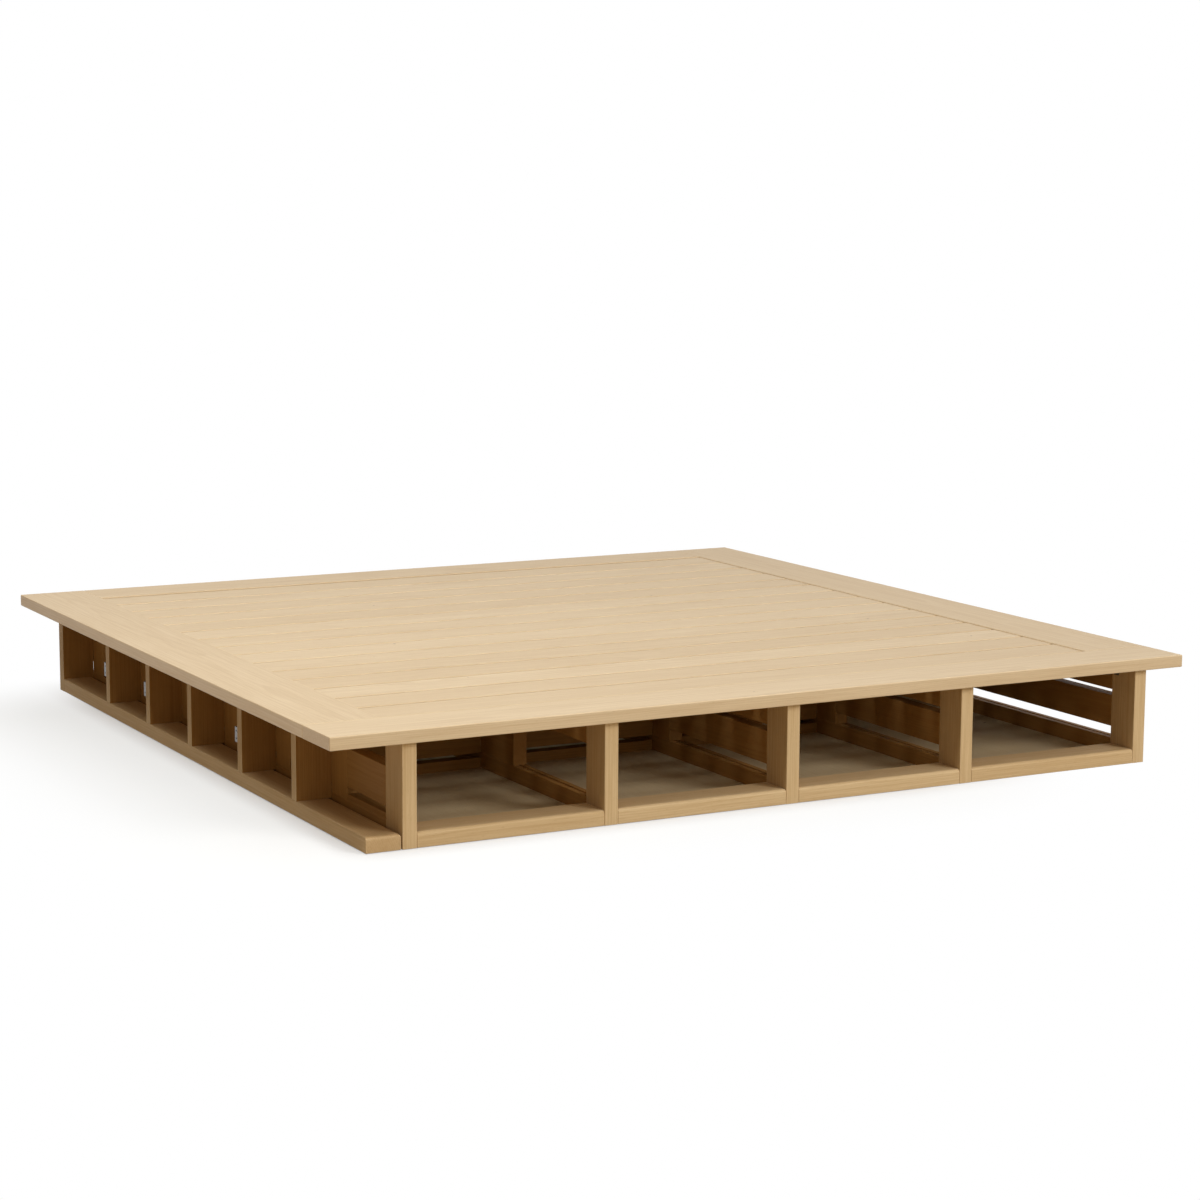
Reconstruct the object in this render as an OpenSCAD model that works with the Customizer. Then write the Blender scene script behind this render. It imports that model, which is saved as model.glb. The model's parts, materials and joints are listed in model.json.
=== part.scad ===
// Low platform bed frame: a broad ledge on a base of open storage bays and side cubbies.
// Millimetres. The origin is on the floor under the middle of the platform.
// The foot of the bed faces -Y, the head faces +Y and the side cubbies face -X.

/* [Platform] */
// Height of the platform's top above the floor
platform_h = 265; // [240:1:330]
// Thickness of the boards round the platform
ledge_t = 30; // [25:0.5:40]
// Width of the two side boards
side_board_w = 180; // [150:1:220]
// Width of the board across the foot
foot_board_w = 150; // [125:1:190]
// Width of the board across the head
head_board_w = 150; // [125:1:190]
// How far the platform stands out over the base at each side
side_overhang = 90; // [60:1:120]
// How far it stands out over the base at the foot
foot_overhang = 25; // [10:1:60]
// How far it stands out over the base at the head
head_overhang = 53; // [30:1:90]
// Radius of the eased edges of the platform boards
ledge_edge_r = 2.5; // [1:0.5:6]

/* [Storage bays] */
// Clear width of the bay next to the cubbies
bay_1_w = 452; // [350:1:600]
// Clear width of the second bay
bay_2_w = 436; // [350:1:600]
// Clear width of the third bay
bay_3_w = 447; // [350:1:600]
// Clear width of the bay at the far side
bay_4_w = 480; // [350:1:600]
// Depth of the three short bays, from the foot of the base
short_bay_l = 626; // [480:1:780]
// Depth of the long bay, from the foot of the base
long_bay_l = 1370; // [1150:1:1600]

/* [Side cubbies] */
// Depth from the side of the base to the first wall
cubby_depth = 85; // [65:1:160]
// Clear length of the cubby at the foot corner
cubby_1_l = 386; // [260:1:480]
// Clear length of the second cubby
cubby_2_l = 306; // [230:1:400]
// Clear length of the third cubby
cubby_3_l = 312; // [230:1:400]
// Clear length of the fourth cubby
cubby_4_l = 276; // [230:1:400]
// Clear length of the fifth cubby
cubby_5_l = 289; // [230:1:400]
// Clear length of the cubby at the head corner
cubby_6_l = 369; // [260:1:480]
// Thickness of the dividers between the cubbies
divider_t = 28; // [18:1:36]
// Open seam between the cubby plinth and the first wall
plinth_seam = 3; // [0:0.5:6]

/* [Walls and rails] */
// Thickness of the sawn boards in the walls and at the head end
stock_t = 34; // [26:1:42]
// Width of the posts and of the rails across the foot
post_w = 88; // [60:1:110]
// Height of the rails across the foot and of the plinth
foot_rail_h = 35; // [26:0.5:44]
// Height of the bottom rail of each wall
wall_rail_h = 48.5; // [44:0.5:60]
// Open gap above the bottom rail
low_gap = 29; // [10:1:40]
// Height of the middle board
middle_board_h = 77; // [60:1:90]
// Open gap above the middle board
high_gap = 15; // [8:1:24]
// Height of the strip on the bottom rail of the first wall, in the first cubby
sill_h = 14; // [8:1:20]
// Width of the groove along the top of each bottom rail
rail_groove_w = 7; // [4:1:12]
// Depth of that groove
rail_groove_d = 5; // [2:1:10]
// Rounding of the top edges at the front of the foot rails and at the end of the plinth
rail_edge_r = 8; // [1:0.5:10]
// Rounding of the upright edges of the foot posts
post_edge_r = 2; // [0.5:0.5:5]
// Thickness of the panels across the bays
cross_panel_t = 18; // [12:1:24]
// Open gap under those panels
cross_gap = 12; // [6:1:24]
// Thickness of the floor panels
floor_t = 9; // [6:1:12]
// Height of the floor panels' underside above the floor
floor_lift = 3; // [2.5:0.5:6]
// Depth of the grooves that hold the floor panels
floor_groove = 6; // [4:1:8]
// Thickness of the felt pads under the rails
pad_t = 1.5; // [1:0.5:2.5]

/* [Slats] */
// Number of slats, laid close so that little dust falls into the storage below
slat_count = 15; // [10:1:16]
// Width of one slat
slat_w = 115; // [60:1:120]
// Thickness of one slat
slat_t = 20; // [15:1:22]
// How far the slats lie below the platform's top
slat_drop = 2; // [0:0.5:4]
// Space between the side boards and the ends of the slats
slat_end_gap = 2; // [1:0.5:5]
// Space between the outer slats and the boards at foot and head
slat_side_gap = 10; // [5:1:40]
// Width of the webbing under the slats
strap_w = 38; // [25:1:50]
// Thickness of the webbing
strap_t = 1.5; // [1:0.5:2]
// Thickness of the cleat that carries the slats at the far side
cleat_t = 20; // [15:1:28]
// Bearing of the slats on that cleat
cleat_reach = 40; // [25:1:60]

/* [Fasteners] */
// Diameter of the dowels between the platform boards
ledge_dowel_d = 10; // [8:1:12]
// Length of those dowels
ledge_dowel_l = 60; // [40:1:80]
// Diameter of the dowels in the rails and dividers
dowel_d = 8; // [6:1:10]
// Wood left in a wall between the ends of two dowels that face each other
dowel_rest = 4; // [2:0.5:8]
// Shank diameter of the bolts through the head boards
bolt_d = 6; // [5:1:8]
// Head diameter of those bolts
bolt_head_d = 15; // [12:1:18]
// Head height of those bolts
bolt_head_h = 3; // [2:0.5:4]
// Length of those bolts into the wall ends
bolt_reach = 55; // [45:1:70]
// Diameter of the barrel nuts
nut_d = 12; // [10:1:14]
// Length of the barrel nuts
nut_l = 16; // [12:1:20]
// Length of each leg of the steel angles under the platform
angle_leg = 25; // [20:1:30]
// Thickness of the steel angles
angle_t = 2; // [1.5:0.5:3]
// Width of the steel angles
angle_w = 18; // [14:1:24]
// Shank diameter of the wood screws
screw_d = 4; // [3:0.5:5]
// Head diameter of the wood screws
screw_head_d = 8; // [6:0.5:9]
// Height of the catch plates above the floor, to their middle
catch_z = 120; // [100:1:140]
// Height of one catch plate
catch_h = 36; // [28:1:44]
// How far the catch plates stand out from the dividers
catch_out = 25; // [15:1:35]

/* [Hidden] */
$fn = 48;
function total(list, n) = n < 1 ? 0 : list[n - 1] + total(list, n - 1);
bay_w = [bay_1_w, bay_2_w, bay_3_w, bay_4_w];
cubby_l = [cubby_1_l, cubby_2_l, cubby_3_l, cubby_4_l, cubby_5_l, cubby_6_l];

// Outline of the base and the platform, which the bays and cubbies add up to
base_w = cubby_depth + total(bay_w, 4) + 5 * stock_t;
base_l = total(cubby_l, 6) + 5 * divider_t + stock_t;
platform_w = base_w + 2 * side_overhang;
platform_l = base_l + foot_overhang + head_overhang;
edge_x = platform_w / 2;
foot_y = -platform_l / 2;
head_y = platform_l / 2;
base_x0 = -base_w / 2;
base_x1 = base_w / 2;
base_y0 = foot_y + foot_overhang;
base_y1 = head_y - head_overhang;
wall_end = base_y1 - stock_t;
foot_back = base_y0 + post_w;

// The opening in the platform that the slats fill
slat_x = edge_x - side_board_w;
slat_y0 = foot_y + foot_board_w;
slat_y1 = head_y - head_board_w;

// Heights above the floor
under = platform_h - ledge_t;
foot_rail_top = pad_t + foot_rail_h;
wall_rail_top = pad_t + wall_rail_h;
middle_z0 = wall_rail_top + low_gap;
middle_z1 = middle_z0 + middle_board_h;
top_rail_z = middle_z1 + high_gap;
slat_top = platform_h - slat_drop;
slat_z = slat_top - slat_t;
cleat_z = under - cleat_t;
panel_z = foot_rail_top + cross_gap;
floor_top = floor_lift + floor_t;

// Lines of the walls, the dividers and the panels across the bays
function wall_x(k) = base_x0 + cubby_depth + total(bay_w, k - 1) + (k - 1) * stock_t;
function wall_right(k) = wall_x(k) + stock_t;
function divider_y(i) = base_y0 + total(cubby_l, i) + (i - 1) * divider_t;
cross_y = base_y0 + short_bay_l;
mid_y = base_y0 + long_bay_l;
last_post = wall_end - post_w;
inner_posts = [cross_y - post_w, mid_y - post_w, last_post];
post_rows = [
    concat([for (i = [1:5]) divider_y(i) - post_w], [last_post]),
    concat([cross_y - 2 * post_w], inner_posts),
    inner_posts,
    inner_posts,
    [mid_y - post_w, last_post]
];
plinth_x1 = wall_x(1) - plinth_seam;

// Depth of each dowel in the rails and dividers, on either side of its joint
dowel_reach = (stock_t - dowel_rest) / 2;

// Clearances and small sizes
fit = 0.5;
plain_edge_r = 2.5;
screw_head_h = 2.2;
short_screw = 15;
cleat_screw = 34;
bolt_tip = 6;
bolt_socket_d = 4.5;
slat_edge_r = 2.5;
groove_fit = 1;
catch_leg = 18;
catch_plate_t = 1.5;
catch_knuckle_d = 5;
catch_set_back = 3;
catch_pitch = 18;
catch_rows = [2, 4, 5];

// Colours
light_wood = "#d9b98a";
warm_wood = "#c9a06c";
end_wood = "#b98f5c";
ply = "#a8957a";
steel = "#b8bcc0";
screw_steel = "#9fa3a6";
felt = "#5a5650";
webbing = "#d8d2c4";

// A square-cut block between two corners
module block(x0, x1, y0, y1, z0, z1) {
    translate([x0, y0, z0]) cube([x1 - x0, y1 - y0, z1 - z0]);
}

// A rectangle whose four corners are rounded by r
module eased_outline(w, h, r) {
    translate([r, 0]) square([w - 2 * r, h]);
    translate([0, r]) square([w, h - 2 * r]);
    for (x = [r, w - r], y = [r, h - r]) translate([x, y]) circle(r);
}

// A rectangle whose upper corners are rounded by r0 on the left and by r1 on the right
module round_top_outline(w, h, r0, r1) {
    square([w - r1, h - r0]);
    translate([r0, 0]) square([w - r0, h - r1]);
    translate([r0, 0]) square([w - r0 - r1, h]);
    translate([r0, h - r0]) circle(r0);
    translate([w - r1, h - r1]) circle(r1);
}

// Boards that run along X, Y and Z, with the outline given as children
module along_x(x0, x1, y, z) {
    translate([x0, y, z]) rotate([90, 0, 90]) linear_extrude(x1 - x0) children();
}

module along_y(y0, y1, x, z) {
    translate([x, y1, z]) rotate([90, 0, 0]) linear_extrude(y1 - y0) children();
}

module along_z(z0, z1, x, y) {
    translate([x, y, z0]) linear_extrude(z1 - z0) children();
}

// Round rods and bores that run along X, Y and Z from their low end
module rod_x(x0, x1, y, z, d) {
    translate([x0, y, z]) rotate([0, 90, 0]) cylinder(h = x1 - x0, d = d);
}

module rod_y(y0, y1, x, z, d) {
    translate([x, y1, z]) rotate([90, 0, 0]) cylinder(h = y1 - y0, d = d);
}

module rod_z(z0, z1, x, y, d) {
    translate([x, y, z0]) cylinder(h = z1 - z0, d = d);
}

// Dowels in the corners of the platform
side_dowel_x = [for (s = [-1, 1], i = [1:3]) s * (edge_x - i * side_board_w / 4)];
head_dowel_y = [for (i = [1:3]) slat_y1 + i * head_board_w / 4];
ledge_mid_z = platform_h - ledge_t / 2;
ledge_reach = ledge_dowel_l / 2;

module corner_dowels() {
    for (x = side_dowel_x)
        rod_y(slat_y0 - ledge_reach, slat_y0 + ledge_reach, x, ledge_mid_z, ledge_dowel_d);
    for (x = [-slat_x, slat_x], y = head_dowel_y)
        rod_x(x - ledge_reach, x + ledge_reach, y, ledge_mid_z, ledge_dowel_d);
}

module ledge_dowels() {
    color(end_wood) corner_dowels();
}

// Steel angles that tie the platform boards to the dividers and the foot posts and head ends of the
// walls, each as [x, y, turn]. They stay clear of the dowels in the corners of the platform.
side_angle_x = (base_x0 - slat_x) / 2;
foot_angle_y = min(foot_back, slat_y0 - ledge_reach) - angle_w;
head_angle_y = wall_end - angle_w;
angles = concat(
    [for (i = [1:5]) [side_angle_x, divider_y(i) + divider_t, 90]],
    [for (k = [1:4], y = [foot_angle_y, head_angle_y]) [wall_right(k), y, 0]],
    [for (y = [foot_angle_y, head_angle_y]) [wall_x(5), y, 180]]
);
angle_hole = angle_leg * 0.6;

// Places a part drawn for a board's face at x = 0, with the ledge's underside at z = 0
module at_angles() {
    for (a = angles) translate([a[0], a[1], under]) rotate([0, 0, a[2]]) children();
}

module ledge_angle() {
    difference() {
        union() {
            block(0, angle_t, -angle_w / 2, angle_w / 2, -angle_leg, 0);
            block(0, angle_leg, -angle_w / 2, angle_w / 2, -angle_t, 0);
        }
        rod_x(-1, angle_t + 1, 0, -angle_hole, screw_d + fit);
        rod_z(-angle_t - 1, 1, angle_hole, 0, screw_d + fit);
    }
}

module ledge_angles() {
    color(steel) at_angles() ledge_angle();
}

// A pan-head wood screw that points along +Z from its seat at z = 0
module wood_screw(l) {
    rotate_extrude() polygon([
        [0, -screw_head_h], [screw_head_d * 0.3, -screw_head_h], [screw_head_d / 2, -screw_head_h * 0.4],
        [screw_head_d / 2, 0], [screw_d / 2, 0], [screw_d / 2, l - screw_d], [0, l]
    ]);
}

module angle_screws() {
    color(screw_steel) at_angles() {
        translate([angle_t, 0, -angle_hole]) rotate([0, -90, 0]) wood_screw(short_screw);
        translate([angle_hole, 0, -angle_t]) wood_screw(short_screw);
    }
}

// Pilot bores for the angle screws, in the upright boards and up into the platform boards
module angle_wall_bores() {
    at_angles() rod_x(-(short_screw - angle_t), 1, 0, -angle_hole, screw_d);
}

module angle_ledge_bores() {
    at_angles() rod_z(-1, short_screw - angle_t, angle_hole, 0, screw_d);
}

// Boards of the platform
module foot_ledge_board() {
    color(light_wood) difference() {
        along_x(-edge_x, edge_x, foot_y, under) eased_outline(foot_board_w, ledge_t, ledge_edge_r);
        corner_dowels();
        angle_ledge_bores();
    }
}

module head_ledge_board() {
    color(light_wood) difference() {
        along_x(-slat_x, slat_x, slat_y1, under) eased_outline(head_board_w, ledge_t, ledge_edge_r);
        corner_dowels();
        angle_ledge_bores();
    }
}

module side_ledge_board(side) {
    x0 = side < 0 ? -edge_x : slat_x;
    color(light_wood) difference() {
        along_y(slat_y0, head_y, x0, under) eased_outline(side_board_w, ledge_t, ledge_edge_r);
        corner_dowels();
        angle_ledge_bores();
        cleat_screw_bores();
    }
}

// Places of the rails and panels across the bays, each as [bay, y of the front face].
// The front row closes the short bays, and the middle row closes all four.
cross_places = concat([for (k = [1:3]) [k, cross_y]], [for (k = [1:4]) [k, mid_y]]);

// Dowels across the bays, each as [bay, y, z]: foot rails, then cross rails, then cross panels
rail_dowel_z = pad_t + foot_rail_h / 2;
dowel_places = concat(
    [for (k = [1:4], part = [0.3, 0.7]) [k, base_y0 + post_w * part, rail_dowel_z]],
    [for (p = cross_places) [p[0], p[1] + stock_t / 2, rail_dowel_z]],
    [for (p = cross_places, part = [0.2, 0.5])
        [p[0], p[1] + cross_panel_t / 2, top_rail_z + part * (under - top_rail_z)]]
);

module bay_dowels() {
    for (d = dowel_places) {
        rod_x(wall_right(d[0]) - dowel_reach, wall_right(d[0]) + dowel_reach, d[1], d[2], dowel_d);
        rod_x(wall_x(d[0] + 1) - dowel_reach, wall_x(d[0] + 1) + dowel_reach, d[1], d[2], dowel_d);
    }
}

// Dowels between the foot posts and the bottom rails behind them, two in each wall
post_dowel_z = [pad_t + wall_rail_h * 0.18, pad_t + wall_rail_h * 0.75];

module post_dowels() {
    for (k = [1:5], z = post_dowel_z)
        rod_y(foot_back - dowel_reach, foot_back + dowel_reach, wall_x(k) + stock_t / 2, z, dowel_d);
}

module rail_dowels() {
    color(end_wood) {
        bay_dowels();
        post_dowels();
    }
}

// Bolts through the head boards into barrel nuts in the wall rails
bolt_rows = [pad_t + wall_rail_h * 0.5, (top_rail_z + under) / 2];
nut_y = wall_end - bolt_reach + bolt_tip + nut_d / 2;

module head_bolt_bores() {
    for (k = [1:5], z = bolt_rows) {
        x = wall_x(k) + stock_t / 2;
        rod_y(wall_end - bolt_reach - 1, base_y1 + 1, x, z, bolt_d + fit);
        rod_y(base_y1 - bolt_head_h, base_y1 + 1, x, z, bolt_head_d + fit);
    }
}

module nut_bores() {
    for (k = [1:5], z = bolt_rows)
        rod_x(wall_x(k) + (stock_t - nut_l) / 2, wall_right(k) + 1, nut_y, z, nut_d);
}

module head_bolts() {
    color(screw_steel) for (k = [1:5], z = bolt_rows) {
        x = wall_x(k) + stock_t / 2;
        difference() {
            union() {
                rod_y(wall_end - bolt_reach, base_y1 - bolt_head_h, x, z, bolt_d);
                rod_y(base_y1 - bolt_head_h, base_y1, x, z, bolt_head_d);
            }
            translate([x, base_y1 + 1, z]) rotate([90, 0, 0])
                cylinder(h = bolt_head_h, d = bolt_socket_d, $fn = 6);
        }
    }
}

module barrel_nuts() {
    color(screw_steel) for (k = [1:5], z = bolt_rows) difference() {
        rod_x(wall_x(k) + (stock_t - nut_l) / 2, wall_x(k) + (stock_t + nut_l) / 2, nut_y, z, nut_d);
        rod_y(nut_y - nut_d, nut_y + nut_d, wall_x(k) + stock_t / 2, z, bolt_d);
    }
}

// Grooves for the floor panels in the faces of a wall, from just inside the foot rails to its end
module wall_groove(x) {
    block(x - floor_groove, x + floor_groove, foot_back - floor_groove, wall_end + 1,
        floor_lift, floor_top + fit);
}

module wall_grooves(k) {
    if (k > 1) wall_groove(wall_x(k));
    if (k < 5) wall_groove(wall_right(k));
}

// One wall: a foot post of full height, a bottom rail behind it, inner posts, middle boards and a top rail
module wall_bottom_rail(k) {
    x = wall_x(k);
    mid = x + stock_t / 2;
    color(warm_wood) difference() {
        block(x, x + stock_t, foot_back, wall_end, pad_t, wall_rail_top);
        block(mid - rail_groove_w / 2, mid + rail_groove_w / 2, foot_back - 1, wall_end + 1,
            wall_rail_top - rail_groove_d, wall_rail_top + 1);
        wall_grooves(k);
        post_dowels();
        bay_dowels();
        head_bolt_bores();
        nut_bores();
    }
}

module wall_posts(k) {
    x = wall_x(k);
    color(warm_wood) difference() {
        union() {
            along_z(pad_t, under, x, base_y0) eased_outline(stock_t, post_w, post_edge_r);
            for (y = post_rows[k - 1]) block(x, x + stock_t, y, y + post_w, wall_rail_top, top_rail_z);
        }
        wall_grooves(k);
        post_dowels();
        bay_dowels();
        angle_wall_bores();
    }
}

// The middle boards fill the wall between its posts. The second wall is open in the first bay, and
// the first wall has a wider board and a low strip in the first cubby, under an open top.
module wall_middle_boards(k) {
    x = wall_x(k);
    rows = post_rows[k - 1];
    starts = concat([foot_back], [for (y = rows) y + post_w]);
    first = k < 3 ? 1 : 0;
    color(warm_wood) difference() {
        union() {
            for (i = [first:len(rows) - 1])
                if (rows[i] - starts[i] > 1) block(x, x + stock_t, starts[i], rows[i], middle_z0, middle_z1);
            if (k == 1) {
                block(x, x + stock_t, foot_back, rows[0], middle_z0, middle_z0 + post_w);
                block(x, x + stock_t, foot_back, rows[0], wall_rail_top, wall_rail_top + sill_h);
            }
        }
        if (k == 1) divider_wall_dowels();
    }
}

module wall_top_rail(k) {
    x = wall_x(k);
    color(warm_wood) difference() {
        block(x, x + stock_t, k == 1 ? post_rows[0][0] : foot_back, wall_end, top_rail_z, under);
        head_bolt_bores();
        nut_bores();
        angle_wall_bores();
        bay_dowels();
        if (k == 1) divider_wall_dowels();
    }
}

// Rails laid flat across the foot of each bay, rounded along their top edge at the front
module foot_rail(k) {
    x0 = wall_right(k);
    x1 = wall_x(k + 1);
    color(light_wood) difference() {
        along_x(x0, x1, base_y0, pad_t)
            round_top_outline(post_w, foot_rail_h, rail_edge_r, plain_edge_r);
        bay_dowels();
        block(x0 - 1, x1 + 1, foot_back - floor_groove, foot_back + 1, floor_lift, floor_top + fit);
    }
}

// Rails and panels across the bays
module cross_rails() {
    color(warm_wood) difference() {
        for (p = cross_places)
            block(wall_right(p[0]), wall_x(p[0] + 1), p[1], p[1] + stock_t, pad_t, foot_rail_top);
        bay_dowels();
    }
}

module cross_panels() {
    color(warm_wood) difference() {
        for (p = cross_places)
            block(wall_right(p[0]), wall_x(p[0] + 1), p[1], p[1] + cross_panel_t, panel_z, under);
        block(slat_x - cleat_reach - fit, wall_x(5) + 1, mid_y - 1, mid_y + cross_panel_t + 1,
            cleat_z - fit, under + 1);
        bay_dowels();
    }
}

// Boards across the head end of the walls
module head_board(z0, z1) {
    color(warm_wood) difference() {
        block(wall_x(1), base_x1, wall_end, base_y1, z0, z1);
        head_bolt_bores();
    }
}

module head_bottom_rail() {
    head_board(pad_t, wall_rail_top);
}

module head_middle_board() {
    head_board(middle_z0, middle_z1);
}

module head_top_rail() {
    head_board(top_rail_z, under);
}

// Side cubbies: a plinth, five dividers and a panel at the head end
divider_dowel_x = [base_x0 + cubby_depth * 0.25, base_x0 + cubby_depth * 0.7];
divider_dowel_z = [(middle_z0 + middle_z1) / 2, (top_rail_z + under) / 2];
divider_mids = [for (i = [1:5]) divider_y(i) + divider_t / 2];

module divider_wall_dowels() {
    for (y = divider_mids, z = divider_dowel_z)
        rod_x(wall_x(1) - dowel_reach, wall_x(1) + dowel_reach, y, z, dowel_d);
}

module divider_plinth_dowels() {
    for (y = divider_mids, x = divider_dowel_x)
        rod_z(foot_rail_top - dowel_reach, foot_rail_top + dowel_reach, x, y, dowel_d);
}

module divider_dowels() {
    color(end_wood) {
        divider_wall_dowels();
        divider_plinth_dowels();
    }
}

module cubby_plinth() {
    plinth_w = plinth_x1 - base_x0;
    plinth_l = wall_end - base_y0;
    color(light_wood) difference() {
        intersection() {
            along_y(base_y0, wall_end, base_x0, pad_t)
                round_top_outline(plinth_w, foot_rail_h, plain_edge_r, rail_edge_r);
            along_x(base_x0 - 1, plinth_x1 + 1, base_y0, pad_t)
                round_top_outline(plinth_l + 2 * rail_edge_r, foot_rail_h, rail_edge_r, rail_edge_r);
        }
        divider_plinth_dowels();
    }
}

module cubby_divider(i) {
    y = divider_y(i);
    color(light_wood) difference() {
        block(base_x0, wall_x(1), y, y + divider_t, foot_rail_top, under);
        divider_plinth_dowels();
        divider_wall_dowels();
        angle_wall_bores();
        catch_screw_bores();
    }
}

module cubby_head_panel() {
    color(light_wood) block(base_x0, wall_x(1), wall_end, base_y1, pad_t, under);
}

// Small steel catch plates on the head side of three dividers, near the open edge.
// One leg is screwed to the divider. The other stands out, pierced, and ends in a rolled knuckle.
catch_places = [for (i = catch_rows) [base_x0 + catch_set_back, divider_y(i) + divider_t]];
catch_knuckle_y = catch_out - catch_knuckle_d / 2;
catch_screw_x = catch_leg * 0.6;
catch_zs = [-catch_pitch / 2, catch_pitch / 2];

module at_catches() {
    for (p = catch_places) translate([p[0], p[1], catch_z]) children();
}

module catch_plate() {
    difference() {
        union() {
            block(0, catch_leg, 0, catch_plate_t, -catch_h / 2, catch_h / 2);
            block(0, catch_plate_t, 0, catch_knuckle_y, -catch_h / 2, catch_h / 2);
            rod_z(-catch_h / 2, catch_h / 2, catch_knuckle_d / 2, catch_knuckle_y, catch_knuckle_d);
        }
        for (z = catch_zs) {
            rod_y(-1, catch_plate_t + 1, catch_screw_x, z, screw_d + fit);
            rod_x(-1, catch_plate_t + 1, catch_knuckle_y * 0.3, z, screw_d + fit);
            rod_x(-1, catch_plate_t + 1, catch_knuckle_y * 0.65, z, screw_d + fit);
        }
    }
}

module catch_plates() {
    color(steel) at_catches() catch_plate();
}

module catch_screws() {
    color(screw_steel) at_catches() for (z = catch_zs)
        translate([catch_screw_x, catch_plate_t, z]) rotate([90, 0, 0]) wood_screw(short_screw);
}

module catch_screw_bores() {
    at_catches() for (z = catch_zs) rod_y(-(short_screw - catch_plate_t), 1, catch_screw_x, z, screw_d);
}

// Floor panels, tongued into the rails and walls
module floor_sheet(k, y0, y1) {
    reach = floor_groove - groove_fit;
    block(wall_right(k) - reach, wall_x(k + 1) + reach, y0, y1, floor_lift, floor_top);
}

module floor_panel(k) {
    y1 = k == 4 ? mid_y : cross_y;
    color(ply) floor_sheet(k, foot_back - floor_groove + groove_fit, y1);
}

module inner_floor_panels() {
    color(ply) {
        for (k = [1:3]) floor_sheet(k, cross_y + stock_t, mid_y);
        for (k = [1:4]) floor_sheet(k, mid_y + stock_t, wall_end);
    }
}

// Cleat under the far side board, which carries the ends of the slats there
cleat_screw_x = (slat_x + wall_x(5)) / 2;
cleat_screw_ys = [for (i = [0:5]) slat_y0 + (0.05 + 0.18 * i) * (slat_y1 - slat_y0)];

module side_cleat() {
    color(warm_wood) difference() {
        block(slat_x - cleat_reach, wall_x(5), slat_y0, slat_y1, cleat_z, under);
        cleat_screw_bores();
    }
}

module cleat_screws() {
    color(screw_steel) for (y = cleat_screw_ys)
        translate([cleat_screw_x, y, cleat_z]) wood_screw(cleat_screw);
}

module cleat_screw_bores() {
    for (y = cleat_screw_ys) rod_z(cleat_z - 1, cleat_z + cleat_screw, cleat_screw_x, y, screw_d);
}

// Strips on top of the walls and the cleat, which carry the slats level with the platform
module slat_bearers() {
    color(warm_wood) {
        block(-slat_x, wall_right(1), slat_y0, slat_y1, under, slat_z);
        for (k = [2:4]) block(wall_x(k), wall_right(k), slat_y0, slat_y1, under, slat_z);
        block(slat_x - cleat_reach, slat_x, slat_y0, slat_y1, under, slat_z);
    }
}

slat_pitch = (slat_y1 - slat_y0 - slat_w - 2 * slat_side_gap) / (slat_count - 1);

module slats() {
    end = slat_x - slat_end_gap;
    color(light_wood) for (i = [0:slat_count - 1])
        along_x(-end, end, slat_y0 + slat_side_gap + i * slat_pitch, slat_z)
            eased_outline(slat_w, slat_t, slat_edge_r);
}

module slat_straps() {
    color(webbing) for (k = [1:4]) {
        mid = (wall_right(k) + min(wall_x(k + 1), slat_x - cleat_reach)) / 2;
        block(mid - strap_w / 2, mid + strap_w / 2, slat_y0 + slat_side_gap, slat_y1 - slat_side_gap,
            slat_z - strap_t, slat_z);
    }
}

// Felt pads under the walls and the plinth
pad_d = 24;
pad_ys = [for (i = [0:4]) base_y0 + post_w / 2 + i * (wall_end - base_y0 - post_w) / 4];

module floor_pads() {
    color(felt) {
        for (k = [1:5], y = pad_ys) rod_z(0, pad_t, wall_x(k) + stock_t / 2, y, pad_d);
        for (y = pad_ys) rod_z(0, pad_t, (base_x0 + plinth_x1) / 2, y, pad_d);
    }
}

foot_ledge_board();
head_ledge_board();
side_ledge_board(-1);  // left_ledge_board
side_ledge_board(1);  // right_ledge_board
ledge_dowels();
for (k = [1:5]) {
    wall_bottom_rail(k);
    wall_posts(k);
    wall_middle_boards(k);
    wall_top_rail(k);
}
for (k = [1:4]) {
    foot_rail(k);
    floor_panel(k);
}
rail_dowels();
cross_rails();
cross_panels();
head_bottom_rail();
head_middle_board();
head_top_rail();
head_bolts();
barrel_nuts();
cubby_plinth();
cubby_head_panel();
divider_dowels();
for (i = [1:5]) cubby_divider(i);
inner_floor_panels();
side_cleat();
cleat_screws();
slat_bearers();
slats();
slat_straps();
ledge_angles();
angle_screws();
catch_plates();
catch_screws();
floor_pads();
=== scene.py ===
# %% [markdown]
# # A storage bed frame in pale wood
# This lesson finishes a low bed frame for a picture. The frame has a broad platform on a base of open bays.
# All its boards come ready from the construction model, at their real size and in their real place.
# What is left for Blender is what a joiner's last hours give: eased edges, grain that follows each board,
# oil on the wood, zinc on the fittings, and light to see it by.

import json
import math
import random

import bmesh
import bpy
from mathutils import Matrix, Vector


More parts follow.
